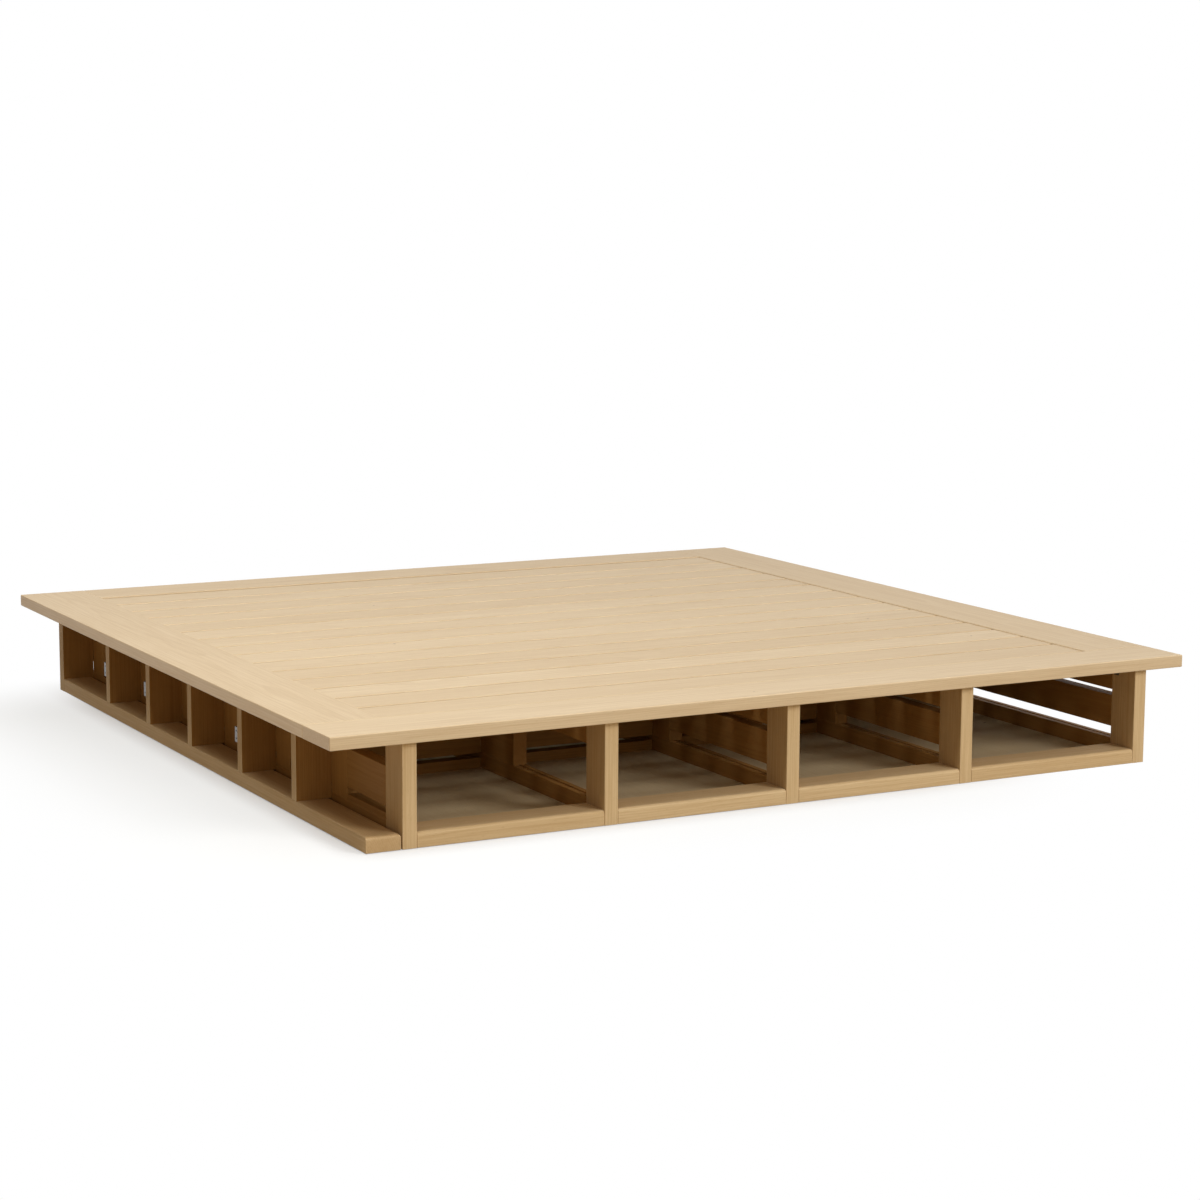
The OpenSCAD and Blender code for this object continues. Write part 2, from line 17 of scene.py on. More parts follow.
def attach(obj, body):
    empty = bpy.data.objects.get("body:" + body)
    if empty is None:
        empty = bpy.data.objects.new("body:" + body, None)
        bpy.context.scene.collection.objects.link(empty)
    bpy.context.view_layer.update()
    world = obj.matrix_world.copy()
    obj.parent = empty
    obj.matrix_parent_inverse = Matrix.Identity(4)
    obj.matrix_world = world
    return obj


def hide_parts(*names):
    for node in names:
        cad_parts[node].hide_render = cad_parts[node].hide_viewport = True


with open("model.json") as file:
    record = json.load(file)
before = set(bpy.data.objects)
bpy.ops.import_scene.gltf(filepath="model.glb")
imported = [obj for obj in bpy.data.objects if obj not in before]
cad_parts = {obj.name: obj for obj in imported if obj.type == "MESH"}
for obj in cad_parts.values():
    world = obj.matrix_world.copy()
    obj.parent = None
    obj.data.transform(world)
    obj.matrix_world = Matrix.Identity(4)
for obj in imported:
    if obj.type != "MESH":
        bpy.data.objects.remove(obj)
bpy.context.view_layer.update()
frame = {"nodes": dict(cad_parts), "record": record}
slot_of = {part["node"]: part["material_slot"] for part in frame["record"]["subparts"]}
MM = 0.001
print("loaded", len(frame["nodes"]), "nodes")

# %% [markdown]
# ## One board at a time
# Several nodes hold more than one board: a row of slats, or the posts of one wall. Each board needs its own
# grain, so the code has to tell them apart. A board is a set of vertices joined by edges, so walking along
# the edges from any vertex finds all of it.


# %% Find the separate boards in a mesh
def boards_in(bm):
    bm.verts.ensure_lookup_table()
    seen, boards = set(), []
    for start in bm.verts:
        if start in seen:
            continue
        board, waiting = [], [start]
        seen.add(start)
        while waiting:
            vert = waiting.pop()
            board.append(vert)
            for edge in vert.link_edges:
                other = edge.other_vert(vert)
                if other not in seen:
                    seen.add(other)
                    waiting.append(other)
        boards.append(board)
    return boards


def extent(verts):
    low = Vector([min(v.co[i] for v in verts) for i in range(3)])
    high = Vector([max(v.co[i] for v in verts) for i in range(3)])
    return low, high


# %% [markdown]
# ## Eased edges
# No joiner leaves a sharp arris. It splinters, and oil won't stay on it. A pass with a plane or a round-over
# cutter takes off one or two millimetres, and that small round is what catches the light along every board.
# A Bevel modifier could do this, but it would also round the rim of every screw hole. So the edges are chosen
# first: an edge belongs to the board's outline when it lies on two sides of the board's own box at once.
# A bevel can push a vertex a little past the board where several rounds meet. So its new vertices are held
# inside the board's box, and faces that this folds flat are dissolved.


# %% Choose the outline edges of a board and round them
FLAT = math.radians(20)
SAME_PLANE = math.radians(0.5)
SAME_POINT = 0.001 * MM
FOLDED = 0.005 * MM


def outline_edges(board, reach):
    low, high = extent(board)
    chosen = []
    for edge in {edge for vert in board for edge in vert.link_edges}:
        if len(edge.link_faces) != 2 or edge.calc_face_angle(0) < FLAT:
            continue
        middle = (edge.verts[0].co + edge.verts[1].co) / 2
        near = [min(middle[i] - low[i], high[i] - middle[i]) < reach for i in range(3)]
        if sum(near) >= 2:
            chosen.append(edge)
    return chosen


def weld(mesh):
    bm = bmesh.new()
    bm.from_mesh(mesh)
    bmesh.ops.remove_doubles(bm, verts=bm.verts, dist=SAME_POINT)
    bmesh.ops.dissolve_limit(bm, angle_limit=SAME_PLANE, verts=bm.verts, edges=bm.edges)
    return bm


def ease(bm, radius, reach):
    for board in boards_in(bm):
        low, high = extent(board)
        rounded = bmesh.ops.bevel(bm, geom=outline_edges(board, reach), offset=radius, offset_type="OFFSET",
                                  segments=3, profile=0.5, affect="EDGES", material=-1, loop_slide=True)
        for vert in rounded["verts"]:
            vert.co = [min(max(vert.co[i], low[i]), high[i]) for i in range(3)]
    bmesh.ops.dissolve_degenerate(bm, dist=FOLDED, edges=bm.edges)


# %% [markdown]
# ## Grain that belongs to the board
# A plank is a slice of a tree, so its lines run along it and turn up on its ends as arcs. To paint that,
# every point needs to know how far it lies along its board, across it and through it, measured from the
# heart of the tree it came from. Attributes carry this: grain holds those three distances, place and
# half say where the point is inside the board's box, and tone makes each board a little lighter or darker.
# Two more belong to faces. End marks end grain. The other is painted shade: how much of a deeper brown,
# standing in for the shade that falls inside the base, a side gets. All of it inside the base, less on the
# inner sides of boards that reach its foot, some on every side that faces left at the base's left side or
# beyond it, the platform's left edge among them, and none on other outer sides or elsewhere on the platform.
# Object coordinates alone could
# not do any of this: all boards would be cut from one huge block.


# %% Write the attributes of each board
outer_boards = ("cubby_plinth", "wall_5_posts", "cubby_head_panel")
base_low, base_high = extent([vert for name in outer_boards for vert in frame["nodes"][name].data.vertices])
SKIN = 2 * MM
FACING = 0.7
END_ON = 0.8
# Painted shade on the sides that face left, standing in for the shade under the platform's overhang.
LEFT_PAINTED_SHADE = 0.3
FLAT_SAWN, ANY_SAWN = 0.35, 1.4
HEART_DEPTH = (0.09, 0.2)
STEM_LENGTH = 9


# Painted shade for one face: a share on sides facing left at or beyond the base's left side, none on other
# outer sides, and the given inner share elsewhere.
def painted_shade_share(face, inside):
    place, normal = face.calc_center_median(), face.normal
    if normal.x < -FACING and place.x < base_low.x + SKIN:
        return LEFT_PAINTED_SHADE
    for i in (0, 1):
        if normal[i] > FACING and place[i] > base_high[i] - SKIN:
            return 0.0
        if normal[i] < -FACING and place[i] < base_low[i] + SKIN:
            return 0.0
    return inside


def board_axes(low, high):
    size = high - low
    return sorted(range(3), key=lambda i: -size[i])


def mark_boards(bm, name, flatness, deep_painted_shade, foot_painted_shade):
    layers = {key: bm.verts.layers.float_vector.new(key) for key in ("grain", "place", "half")}
    tone = bm.verts.layers.float.new("tone")
    end = bm.faces.layers.float.new("end")
    painted_shade = bm.faces.layers.float.new("painted_shade")
    boards = boards_in(bm)
    for number, board in enumerate(boards):
        rng = random.Random(f"{name} {number}")
        low, high = extent(board)
        middle, half = (low + high) / 2, (high - low) / 2
        along, across, through = board_axes(low, high)
        angle = rng.uniform(-1, 1) * (FLAT_SAWN if rng.random() < flatness else ANY_SAWN)
        heart = rng.uniform(*HEART_DEPTH)
        along_stem = rng.uniform(-STEM_LENGTH, STEM_LENGTH)
        shift = Vector((along_stem, heart * math.sin(angle), heart * math.cos(angle)))
        shade = rng.uniform(-1, 1)
        # The inner share of painted shade: less on boards that reach the foot, more deeper in the base.
        inside = foot_painted_shade if low.y < base_low.y + SKIN else deep_painted_shade
        for vert in board:
            offset = vert.co - middle
            vert[layers["grain"]] = Vector((offset[along], offset[across], offset[through])) + shift
            vert[layers["place"]] = offset
            vert[layers["half"]] = half
            vert[tone] = shade
        for face in {face for vert in board for face in vert.link_faces}:
            face[end] = 1.0 if abs(face.normal[along]) > END_ON else 0.0
            face[painted_shade] = painted_shade_share(face, inside)
    return len(boards)


# %% [markdown]
# ## Small helpers for shader nodes
# A material is a graph. These helpers add a node, feed a socket from a number or another socket, and keep
# the recipes below short enough to read as sentences.


# %% Helpers that add and join nodes
def add(tree, kind, **settings):
    made = tree.nodes.new(kind)
    for key, value in settings.items():
        setattr(made, key, value)
    return made


def feed(tree, value, socket):
    if isinstance(value, bpy.types.NodeSocket):
        tree.links.new(value, socket)
    else:
        socket.default_value = value


def calc(tree, operation, *values, clamp=False):
    made = add(tree, "ShaderNodeMath", operation=operation, use_clamp=clamp)
    for value, socket in zip(values, made.inputs):
        feed(tree, value, socket)
    return made.outputs[0]


def smooth(tree, value, low, high, start=0.0, stop=1.0):
    made = add(tree, "ShaderNodeMapRange", interpolation_type="SMOOTHSTEP")
    ends = {"Value": value, "From Min": low, "From Max": high, "To Min": start, "To Max": stop}
    for key, number in ends.items():
        feed(tree, number, made.inputs[key])
    return made.outputs["Result"]


def blend_colour(tree, factor, first, second, mode="MIX"):
    made = add(tree, "ShaderNodeMix", data_type="RGBA", blend_type=mode)
    feed(tree, factor, made.inputs[0])
    feed(tree, first, made.inputs[6])
    feed(tree, second, made.inputs[7])
    return made.outputs[2]


def stretched(tree, vector, scale, move=(0, 0, 0)):
    made = add(tree, "ShaderNodeMapping")
    feed(tree, vector, made.inputs["Vector"])
    made.inputs["Scale"].default_value = scale
    made.inputs["Location"].default_value = move
    return made.outputs["Vector"]


def noise(tree, vector, scale=1.0, detail=2.0, roughness=0.5):
    made = add(tree, "ShaderNodeTexNoise")
    feed(tree, vector, made.inputs["Vector"])
    for key, number in (("Scale", scale), ("Detail", detail), ("Roughness", roughness)):
        made.inputs[key].default_value = number
    return made.outputs["Fac"]


def new_group(name, inputs, outputs):
    tree = bpy.data.node_groups.new(name, "ShaderNodeTree")
    kinds = {"v": "NodeSocketVector", "f": "NodeSocketFloat", "c": "NodeSocketColor"}
    for in_out, sockets in (("INPUT", inputs), ("OUTPUT", outputs)):
        for label, kind in sockets:
            tree.interface.new_socket(label, in_out=in_out, socket_type=kinds[kind])
    return tree, tree.nodes.new("NodeGroupInput"), tree.nodes.new("NodeGroupOutput")


def use_group(tree, group, **values):
    made = add(tree, "ShaderNodeGroup", node_tree=group)
    for key, value in values.items():
        feed(tree, value, made.inputs[key])
    return made


# %% [markdown]
# ## Pin knots
# Small twigs leave pin knots, dark dots a few millimetres wide, and the lines beside them bend round. A twig
# grows straight out from the heart, so a knot has a place along the stem and a direction round it, and shows
# wherever a board cuts through. A flat Voronoi texture over those two gives the places. Most of its cells are
# left empty, because this is clear wood.

# %% Build the knot group
TURN_LENGTH = 0.15
TWIG_CELLS = 5
THIN_TWIG, THICKER = 0.010, 0.012
KNOT_CORE, SWIRL_REACH = 0.6, 7.0
knots, g_in, g_out = new_group("Pin knots", [("Grain", "v"), ("Share", "f")], [("Knot", "f"), ("Swirl", "f")])
parts = add(knots, "ShaderNodeSeparateXYZ")
feed(knots, g_in.outputs["Grain"], parts.inputs[0])
turn = calc(knots, "ARCTAN2", parts.outputs["Y"], parts.outputs["Z"])
unrolled = add(knots, "ShaderNodeCombineXYZ")
feed(knots, parts.outputs["X"], unrolled.inputs["X"])
feed(knots, calc(knots, "MULTIPLY", turn, TURN_LENGTH), unrolled.inputs["Y"])
twigs = add(knots, "ShaderNodeTexVoronoi", voronoi_dimensions="2D", feature="F1")
feed(knots, unrolled.outputs[0], twigs.inputs["Vector"])
twigs.inputs["Scale"].default_value = TWIG_CELLS
pick = add(knots, "ShaderNodeSeparateXYZ")
feed(knots, twigs.outputs["Color"], pick.inputs[0])
kept = calc(knots, "LESS_THAN", pick.outputs["X"], g_in.outputs["Share"])
girth = calc(knots, "MULTIPLY_ADD", pick.outputs["Y"], THICKER, THIN_TWIG)
core, reach = calc(knots, "MULTIPLY", girth, KNOT_CORE), calc(knots, "MULTIPLY", girth, SWIRL_REACH)
spot = smooth(knots, twigs.outputs["Distance"], core, girth, 1.0, 0.0)
bend = smooth(knots, twigs.outputs["Distance"], 0.0, reach, 1.0, 0.0)
feed(knots, calc(knots, "MULTIPLY", spot, kept), g_out.inputs["Knot"])
feed(knots, calc(knots, "MULTIPLY", bend, kept), g_out.inputs["Swirl"])

# %% [markdown]
# ## Growth rings
# In a trunk the rings are rough cylinders round the heart. The distance from the heart, divided by the width
# of one year's growth, therefore counts the years, and what is left over says where in the year a point
# lies: pale and soft in spring, a thin darker line in autumn. Slow noise, drawn out along the board, makes
# the cylinders wander as a real stem does. On a flat cut this gives arches, and on a radial cut it gives
# straight lines. Scales of noise are in cycles per metre: along the board, across it and through it.

# %% Build the ring group
WANDER_SCALE, RIPPLE_SCALE = (1.1, 5, 5), (9, 60, 60)
RIPPLE_DEPTH, SWIRL_DEPTH = 0.0016, 0.007
AUTUMN_START, AUTUMN_PEAK = 0.35, 0.9
YEAR_CHANGE = 0.31
rings, g_in, g_out = new_group(
    "Growth rings", [("Grain", "v"), ("Year", "f"), ("Wander", "f"), ("Swirl", "f")],
    [("Autumn", "f"), ("Band", "f")]
)
wander = noise(rings, stretched(rings, g_in.outputs["Grain"], WANDER_SCALE), detail=2)
ripple = noise(rings, stretched(rings, g_in.outputs["Grain"], RIPPLE_SCALE), detail=1)
flat = add(rings, "ShaderNodeVectorMath", operation="MULTIPLY")
feed(rings, g_in.outputs["Grain"], flat.inputs[0])
flat.inputs[1].default_value = (0, 1, 1)
radius = add(rings, "ShaderNodeVectorMath", operation="LENGTH")
feed(rings, flat.outputs[0], radius.inputs[0])
stem = calc(rings, "MULTIPLY_ADD", wander, g_in.outputs["Wander"], radius.outputs["Value"])
stem = calc(rings, "MULTIPLY_ADD", ripple, RIPPLE_DEPTH, stem)
stem = calc(rings, "MULTIPLY_ADD", g_in.outputs["Swirl"], SWIRL_DEPTH, stem)
years = calc(rings, "DIVIDE", stem, g_in.outputs["Year"])
season = calc(rings, "FRACT", years)
rise = smooth(rings, season, AUTUMN_START, AUTUMN_PEAK)
fall = smooth(rings, season, AUTUMN_PEAK, 1.0, 1.0, 0.0)
strength = add(rings, "ShaderNodeTexNoise", noise_dimensions="1D")
feed(rings, calc(rings, "MULTIPLY", years, YEAR_CHANGE), strength.inputs["W"])
strength.inputs["Scale"].default_value = 1.0
feed(rings, calc(rings, "MULTIPLY", calc(rings, "MULTIPLY", rise, fall), strength.outputs["Fac"]),
     g_out.inputs["Autumn"])
feed(rings, strength.outputs["Fac"], g_out.inputs["Band"])
print("ring group has", len(rings.nodes), "nodes")

# %% [markdown]
# ## Fibres and flecks
# Under the rings lies a much finer texture. Wood is a bundle of fibres, a few tenths of a millimetre wide and
# some centimetres long, and short dark flecks run the same way. One noise texture squeezed across the grain
# makes the fibres, and a second one, cut off high, leaves only its peaks as flecks. The same pattern gives
# the height for the bump, so that light breaks on the fibres that the eye sees.

# %% Build the fibre group
FINE_SCALE, COARSE_SCALE = (14, 900, 900), (5, 170, 170)
FLECK_SCALE, PATCH_SCALE = (70, 1500, 1500), (2.2, 17, 17)
FLECK_CUT = (0.66, 0.76)
FLECK_DEPTH = 0.6
fibres, g_in, g_out = new_group(
    "Wood fibres", [("Grain", "v")], [("Fibre", "f"), ("Fleck", "f"), ("Patch", "f"), ("Height", "f")]
)
fine = noise(fibres, stretched(fibres, g_in.outputs["Grain"], FINE_SCALE), detail=3, roughness=0.6)
coarse = noise(fibres, stretched(fibres, g_in.outputs["Grain"], COARSE_SCALE, (3, 5, 7)), detail=2)
both = calc(fibres, "MULTIPLY_ADD", fine, 0.5, calc(fibres, "MULTIPLY", coarse, 0.5))
fleck = noise(fibres, stretched(fibres, g_in.outputs["Grain"], FLECK_SCALE, (11, 2, 5)), detail=1)
fleck = smooth(fibres, fleck, *FLECK_CUT)
patch = noise(fibres, stretched(fibres, g_in.outputs["Grain"], PATCH_SCALE, (1, 9, 4)), detail=2)
feed(fibres, both, g_out.inputs["Fibre"])
feed(fibres, fleck, g_out.inputs["Fleck"])
feed(fibres, patch, g_out.inputs["Patch"])
sunk = calc(fibres, "MULTIPLY", fleck, FLECK_DEPTH)
feed(fibres, calc(fibres, "SUBTRACT", both, sunk), g_out.inputs["Height"])

# %% [markdown]
# ## Edges that hands have rubbed, and a painted highlight
# An eased edge loses its colour first, and the same pale band also stands in for the highlight that its round
# catches: wear and painted highlight at once. The distance to the nearest edge follows from place and half:
# on any side of a board one of the three distances to its box is zero, and the middle one of the three is the
# distance to the edge. A little noise breaks the line, so that it doesn't look drawn.

# %% Build the edge group
RUB_AND_HIGHLIGHT_SCALE = 55
RUB_AND_HIGHLIGHT_SWING, RUB_AND_HIGHLIGHT_LEAST = 1.6, 0.2
edges, g_in, g_out = new_group(
    "Rubbed edges and painted highlight", [("Place", "v"), ("Half", "v"), ("Width", "f")], [("Edge", "f")]
)
inside = add(edges, "ShaderNodeVectorMath", operation="ABSOLUTE")
feed(edges, g_in.outputs["Place"], inside.inputs[0])
gap = add(edges, "ShaderNodeVectorMath", operation="SUBTRACT")
feed(edges, g_in.outputs["Half"], gap.inputs[0])
feed(edges, inside.outputs[0], gap.inputs[1])
parts = add(edges, "ShaderNodeSeparateXYZ")
feed(edges, gap.outputs[0], parts.inputs[0])
least = calc(edges, "MINIMUM", calc(edges, "MINIMUM", parts.outputs[0], parts.outputs[1]), parts.outputs[2])
most = calc(edges, "MAXIMUM", calc(edges, "MAXIMUM", parts.outputs[0], parts.outputs[1]), parts.outputs[2])
whole = calc(edges, "ADD", calc(edges, "ADD", parts.outputs[0], parts.outputs[1]), parts.outputs[2])
to_edge = calc(edges, "SUBTRACT", calc(edges, "SUBTRACT", whole, least), most)
uneven = noise(edges, g_in.outputs["Place"], scale=RUB_AND_HIGHLIGHT_SCALE, detail=3)
share = calc(edges, "MULTIPLY_ADD", uneven, RUB_AND_HIGHLIGHT_SWING, RUB_AND_HIGHLIGHT_LEAST)
worn_and_highlight_width = calc(edges, "MULTIPLY", g_in.outputs["Width"], share)
feed(edges, smooth(edges, to_edge, 0.0, worn_and_highlight_width, 1.0, 0.0), g_out.inputs["Edge"])

# %% [markdown]
# ## The wood itself
# The boards are pale and close-grained under a clear matt oil. One recipe serves them all, with its own
# colours for the platform, the outer boards of the base, its inner boards, mixed a little darker as painted
# shade, and the floor panels. The colour starts between two tones that the board's own shade and slow patches
# choose from. Autumn lines, fibres, flecks and knots darken it, end grain drinks more oil and goes browner,
# and rubbed edges go pale, as wear and as a painted highlight along the eased edges. The sides marked for
# painted shade are then multiplied by a brown, which paints the shade inside the base and on its left side.
# Oil leaves a soft sheen, so the roughness stays near one half.


# %% Write the wood recipe
# The brown that paints shade on the marked sides.
PAINTED_SHADE_BROWN = (0.54, 0.38, 0.20, 1)
KNOT_BROWN = (0.16, 0.07, 0.02, 1)
KNOT_SHARE, KNOT_DEPTH = 0.16, 0.8
RING_WANDER = 0.03
RUB_AND_HIGHLIGHT_WIDTH, RUB_AND_HIGHLIGHT_DEPTH = 0.004, 0.35
TONE_SWING, TONE_START, PATCH_SWING = 0.28, 0.1, 0.8
FIBRE_CUT, FIBRE_DEPTH = (0.40, 0.66), 0.42
FLECK_SHARE, END_SHARE = 0.4, 0.25
GLOSS_SWING = 0.16


def attribute(tree, name):
    return add(tree, "ShaderNodeAttribute", attribute_name=name)


def new_material(name):
    material = bpy.data.materials.new(name)
    material.use_nodes = True
    tree = material.node_tree
    return material, tree, tree.nodes["Principled BSDF"]


def add_bump(tree, shader, height, depth, strength=0.3):
    bump = add(tree, "ShaderNodeBump")
    bump.inputs["Strength"].default_value = strength
    bump.inputs["Distance"].default_value = depth * MM
    feed(tree, height, bump.inputs["Height"])
    feed(tree, bump.outputs["Normal"], shader.inputs["Normal"])


def wood(name, pale, deep, autumn, end_grain, year=0.0045, ring_depth=0.5, rough=0.5, sheen=0.2):
    material, tree, shader = new_material(name)
    grain = attribute(tree, "grain").outputs["Vector"]
    knot = use_group(tree, knots, Grain=grain, Share=KNOT_SHARE)
    ring = use_group(tree, rings, Grain=grain, Year=year, Wander=RING_WANDER, Swirl=knot.outputs["Swirl"])
    fibre = use_group(tree, fibres, Grain=grain)
    edge = use_group(tree, edges, Place=attribute(tree, "place").outputs["Vector"],
                     Half=attribute(tree, "half").outputs["Vector"], Width=RUB_AND_HIGHLIGHT_WIDTH)
    shade = calc(tree, "MULTIPLY_ADD", attribute(tree, "tone").outputs["Fac"], TONE_SWING, TONE_START)
    shade = calc(tree, "MULTIPLY_ADD", fibre.outputs["Patch"], PATCH_SWING, shade, clamp=True)
    colour = blend_colour(tree, shade, pale, deep)
    lines = calc(tree, "MULTIPLY", ring.outputs["Autumn"], ring_depth)
    colour = blend_colour(tree, lines, colour, autumn)
    dark_fibre = smooth(tree, fibre.outputs["Fibre"], *FIBRE_CUT, 0.0, FIBRE_DEPTH)
    colour = blend_colour(tree, dark_fibre, colour, autumn)
    # Flecks, knots and end grain darken the colour, and rubbed edges pale it as wear and painted highlight
    # both.
    for part, share, tint in ((fibre.outputs["Fleck"], FLECK_SHARE, end_grain),
                              (knot.outputs["Knot"], KNOT_DEPTH, KNOT_BROWN),
                              (attribute(tree, "end").outputs["Fac"], END_SHARE, end_grain),
                              (edge.outputs["Edge"], RUB_AND_HIGHLIGHT_DEPTH, pale)):
        colour = blend_colour(tree, calc(tree, "MULTIPLY", part, share), colour, tint)
    # Painted shade: the marked sides are multiplied by the brown.
    colour = blend_colour(tree, attribute(tree, "painted_shade").outputs["Fac"], colour, PAINTED_SHADE_BROWN, mode="MULTIPLY")
    feed(tree, colour, shader.inputs["Base Color"])
    gloss = calc(tree, "MULTIPLY_ADD", fibre.outputs["Fibre"], GLOSS_SWING, rough - GLOSS_SWING / 2)
    feed(tree, gloss, shader.inputs["Roughness"])
    shader.inputs["Specular IOR Level"].default_value = sheen
    add_bump(tree, shader, fibre.outputs["Height"], 0.15, strength=0.35)
    return material


# %% Mix the three woods and the floor boards
platform_wood = wood("Platform wood", pale=(0.72, 0.55, 0.34, 1), deep=(0.62, 0.45, 0.255, 1),
                     autumn=(0.50, 0.33, 0.16, 1), end_grain=(0.40, 0.24, 0.10, 1), rough=0.48, sheen=0.6)
base_wood = wood("Base wood", pale=(0.74, 0.56, 0.33, 1), deep=(0.64, 0.455, 0.245, 1),
                 autumn=(0.51, 0.325, 0.145, 1), end_grain=(0.38, 0.20, 0.07, 1), sheen=0.06)
# The inner boards are mixed a little darker than the outer ones as painted shade for the inside of the base.
inner_wood = wood("Inner wood with painted shade", pale=(0.68, 0.51, 0.30, 1), deep=(0.58, 0.41, 0.22, 1),
                  autumn=(0.46, 0.29, 0.13, 1), end_grain=(0.36, 0.19, 0.065, 1), sheen=0.04)
floor_board = wood("Floor board", pale=(0.61, 0.49, 0.31, 1), deep=(0.54, 0.42, 0.245, 1),
                   autumn=(0.50, 0.38, 0.22, 1), end_grain=(0.30, 0.20, 0.11, 1), ring_depth=0.15, rough=0.6,
                   sheen=0.1)
finish_of = {"platform_wood": platform_wood, "base_wood": base_wood, "inner_wood": inner_wood,
             "floor_board": floor_board}
print("woods", sorted(finish_of))

# %% [markdown]
# ## Finishing a node
# Each wooden node is copied, welded, eased and marked, and the copy then stands for the node. The normals
# need care: a broad flat side and its narrow round share vertices, and plain smooth shading would make the
# flat side look swollen. A Weighted Normal modifier lets the broad side decide. Reach says how far from the
# board's box an edge may lie and still count as its outline. Boards that come with a small round need more.


# %% Make the finished copy of a node
SHARP = math.radians(40)
made_boards = 0


def make_piece(bm, name, new_name, material):
    mesh = bpy.data.meshes.new(new_name)
    bm.to_mesh(mesh)
    bm.free()
    piece = bpy.data.objects.new(new_name, mesh)
    bpy.context.scene.collection.objects.link(piece)
    for key in ("custom_normal", "sharp_edge", "sharp_face"):
        if key in mesh.attributes:
            mesh.attributes.remove(mesh.attributes[key])
    mesh.shade_smooth()
    mesh.set_sharp_from_angle(angle=SHARP)
    mesh.materials.clear()
    mesh.materials.append(material)
    normals = piece.modifiers.new("Weighted normals", "WEIGHTED_NORMAL")
    normals.keep_sharp = True
    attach(piece, "root")
    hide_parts(name)
    return piece


def finish_node(name, radius, reach=0.2 * MM, flatness=0.5, foot_painted_shade=0.4):
    global made_boards
    in_base = slot_of[name] in ("base_wood", "inner_wood")
    bm = weld(frame["nodes"][name].data)
    ease(bm, radius, reach)
    # Boards of the base get painted shade on their inner sides; other boards get none there.
    made_boards += mark_boards(bm, name, flatness, float(in_base), foot_painted_shade * in_base)
    return make_piece(bm, name, name + "_eased", finish_of[slot_of[name]])


# %% Platform boards and slats
ROUNDED = {"radius": 2 * MM, "reach": 2.7 * MM}
for side in ("foot", "head", "left", "right"):
    finish_node(side + "_ledge_board", flatness=0.8, **ROUNDED)
finish_node("slats", **ROUNDED)
finish_node("slat_bearers", 1 * MM)
finish_node("side_cleat", 1 * MM)

# %% Walls
for wall in range(1, 6):
    finish_node(f"wall_{wall}_bottom_rail", 1.2 * MM)
    finish_node(f"wall_{wall}_posts", 1 * MM, reach=2.2 * MM, flatness=0.2)
    finish_node(f"wall_{wall}_middle_boards", 1.2 * MM)
    finish_node(f"wall_{wall}_top_rail", 1.2 * MM)

# %% Foot rails, cross pieces and head boards
for bay in range(1, 5):
    # Foot rails get only a little painted shade on their inner sides.
    finish_node(f"foot_rail_{bay}", foot_painted_shade=0.1, **ROUNDED)
    finish_node(f"floor_panel_{bay}", 0.6 * MM)
for name in ("inner_floor_panels", "cross_rails", "cross_panels"):
    finish_node(name, 0.8 * MM)
for name in ("head_bottom_rail", "head_middle_board", "head_top_rail"):
    finish_node(name, 1.2 * MM)

# %% Cubbies
finish_node("cubby_plinth", **ROUNDED)
finish_node("cubby_head_panel", 0.3 * MM, flatness=0.2)
for divider in range(1, 6):
    finish_node(f"cubby_divider_{divider}", 1 * MM, flatness=0.2)
print("finished", made_boards, "boards")

# %% [markdown]
# ## Steel, felt and webbing
# The small parts are bought in. Sheet steel comes zinc-plated, which looks like a dull silver with faint
# clouds, because the crystals of zinc face different ways. Felt is a mat of short hairs, and webbing is a
# plain weave. Their patterns read Object coordinates, which is right for things cut from a roll or pressed
# from a sheet: the pattern has no direction that must follow the piece.

# %% Zinc, felt and dowel wood
def plain(name, first, second, scale, rough, metal=0.0, height=0.1):
    material, tree, shader = new_material(name)
    place = add(tree, "ShaderNodeTexCoord").outputs["Object"]
    spots = noise(tree, place, scale=scale, detail=3, roughness=0.6)
    feed(tree, blend_colour(tree, spots, first, second), shader.inputs["Base Color"])
    feed(tree, calc(tree, "MULTIPLY_ADD", spots, 0.15, rough - 0.07), shader.inputs["Roughness"])
    shader.inputs["Metallic"].default_value = metal
    add_bump(tree, shader, spots, height)
    return material


dowel_wood = plain("Dowel wood", (0.52, 0.33, 0.16, 1), (0.40, 0.23, 0.10, 1), 400, 0.6)
plate_zinc = plain("Zinc plate", (0.22, 0.21, 0.20, 1), (0.14, 0.135, 0.13, 1), 260, 0.4,
                   metal=1.0, height=0.02)
screw_zinc = plain("Zinc screw", (0.46, 0.46, 0.47, 1), (0.34, 0.34, 0.35, 1), 500, 0.36,
                   metal=1.0, height=0.02)
felt = plain("Felt", (0.12, 0.11, 0.10, 1), (0.07, 0.065, 0.06, 1), 900, 0.95, height=0.4)

# %% Woven webbing
THREAD = 1.8 * MM
SHADED, RAISED = (0.50, 0.46, 0.37, 1), (0.74, 0.70, 0.60, 1)
webbing, tree, shader = new_material("Webbing")
parts = add(tree, "ShaderNodeSeparateXYZ")
feed(tree, add(tree, "ShaderNodeTexCoord").outputs["Object"], parts.inputs[0])
over = calc(tree, "SINE", calc(tree, "MULTIPLY", parts.outputs["X"], 2 * math.pi / THREAD))
under = calc(tree, "SINE", calc(tree, "MULTIPLY", parts.outputs["Y"], 2 * math.pi / THREAD))
weave = smooth(tree, calc(tree, "MULTIPLY", over, under), -0.7, 0.7)
feed(tree, blend_colour(tree, weave, SHADED, RAISED), shader.inputs["Base Color"])
shader.inputs["Roughness"].default_value = 0.9
add_bump(tree, shader, weave, 0.3)


